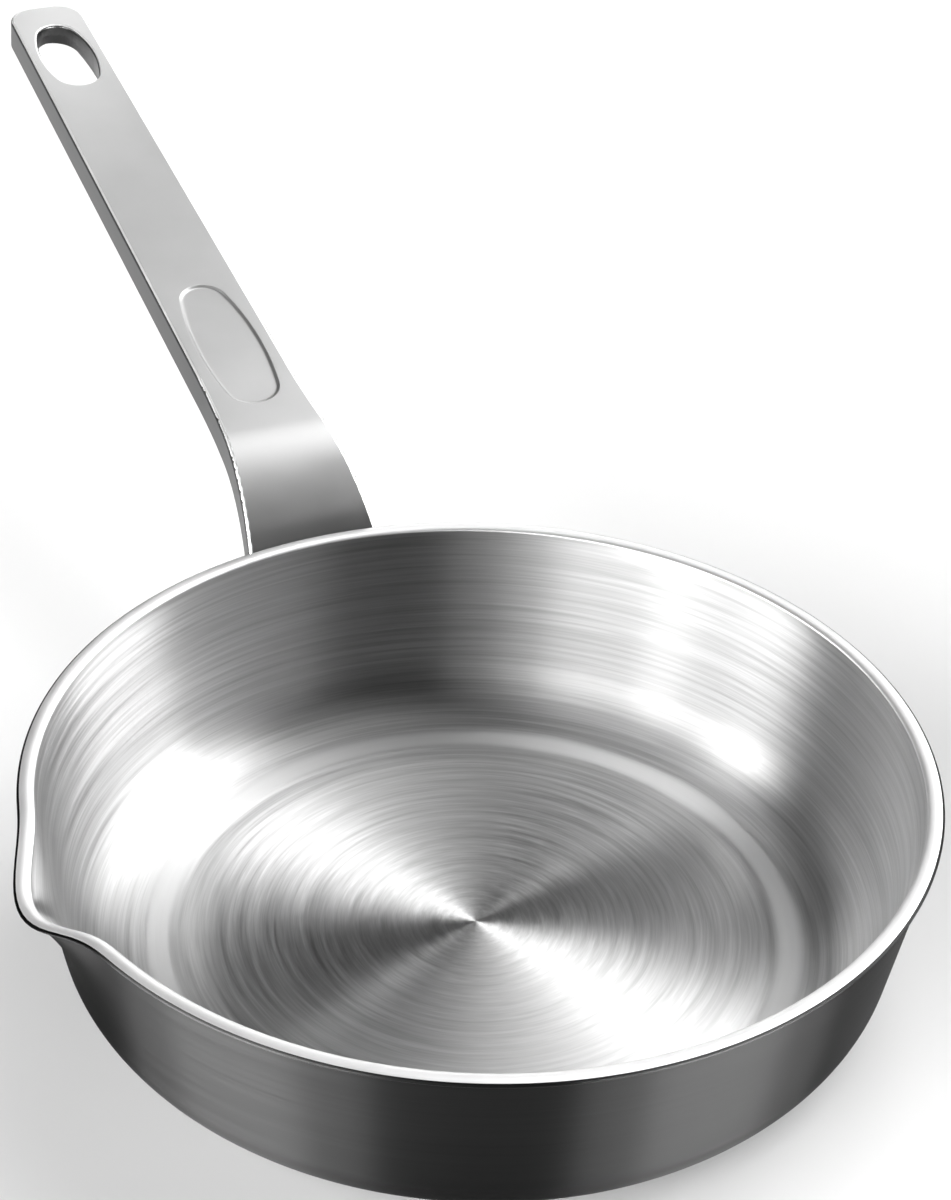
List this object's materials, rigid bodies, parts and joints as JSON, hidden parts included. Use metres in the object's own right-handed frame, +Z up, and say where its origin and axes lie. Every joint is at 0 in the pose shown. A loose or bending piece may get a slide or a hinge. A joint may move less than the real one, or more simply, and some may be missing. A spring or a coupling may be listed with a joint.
{
  "type": "omelette pan",
  "caption": "Round clad-steel omelette pan with a rolled rim, a pouring lip to one side and a welded cast handle with a thumb recess and a hanging hole.",
  "frame": {"origin": "middle of the flat base, on the surface that the pan stands on", "axes": "+Z up; +Y from the middle of the pan along the handle; the pouring lip is on the -X side"},
  "size_m": [0.205, 0.4216, 0.1023],
  "materials": {
    "cooking_steel": "circular brushed",
    "core_aluminium": "rolled",
    "shell_steel": "satin",
    "handle_steel": "satin polished",
    "weld_steel": "as welded"
  },
  "bodies": {
    "root": {"inner_liner": "cooking_steel", "aluminium_core": "core_aluminium", "outer_shell": "shell_steel", "handle": "handle_steel", "weld_spot_1": "weld_steel", "weld_spot_2": "weld_steel", "weld_spot_3": "weld_steel", "weld_spot_4": "weld_steel", "weld_spot_5": "weld_steel", "weld_spot_6": "weld_steel"}
  },
  "joints": []
}
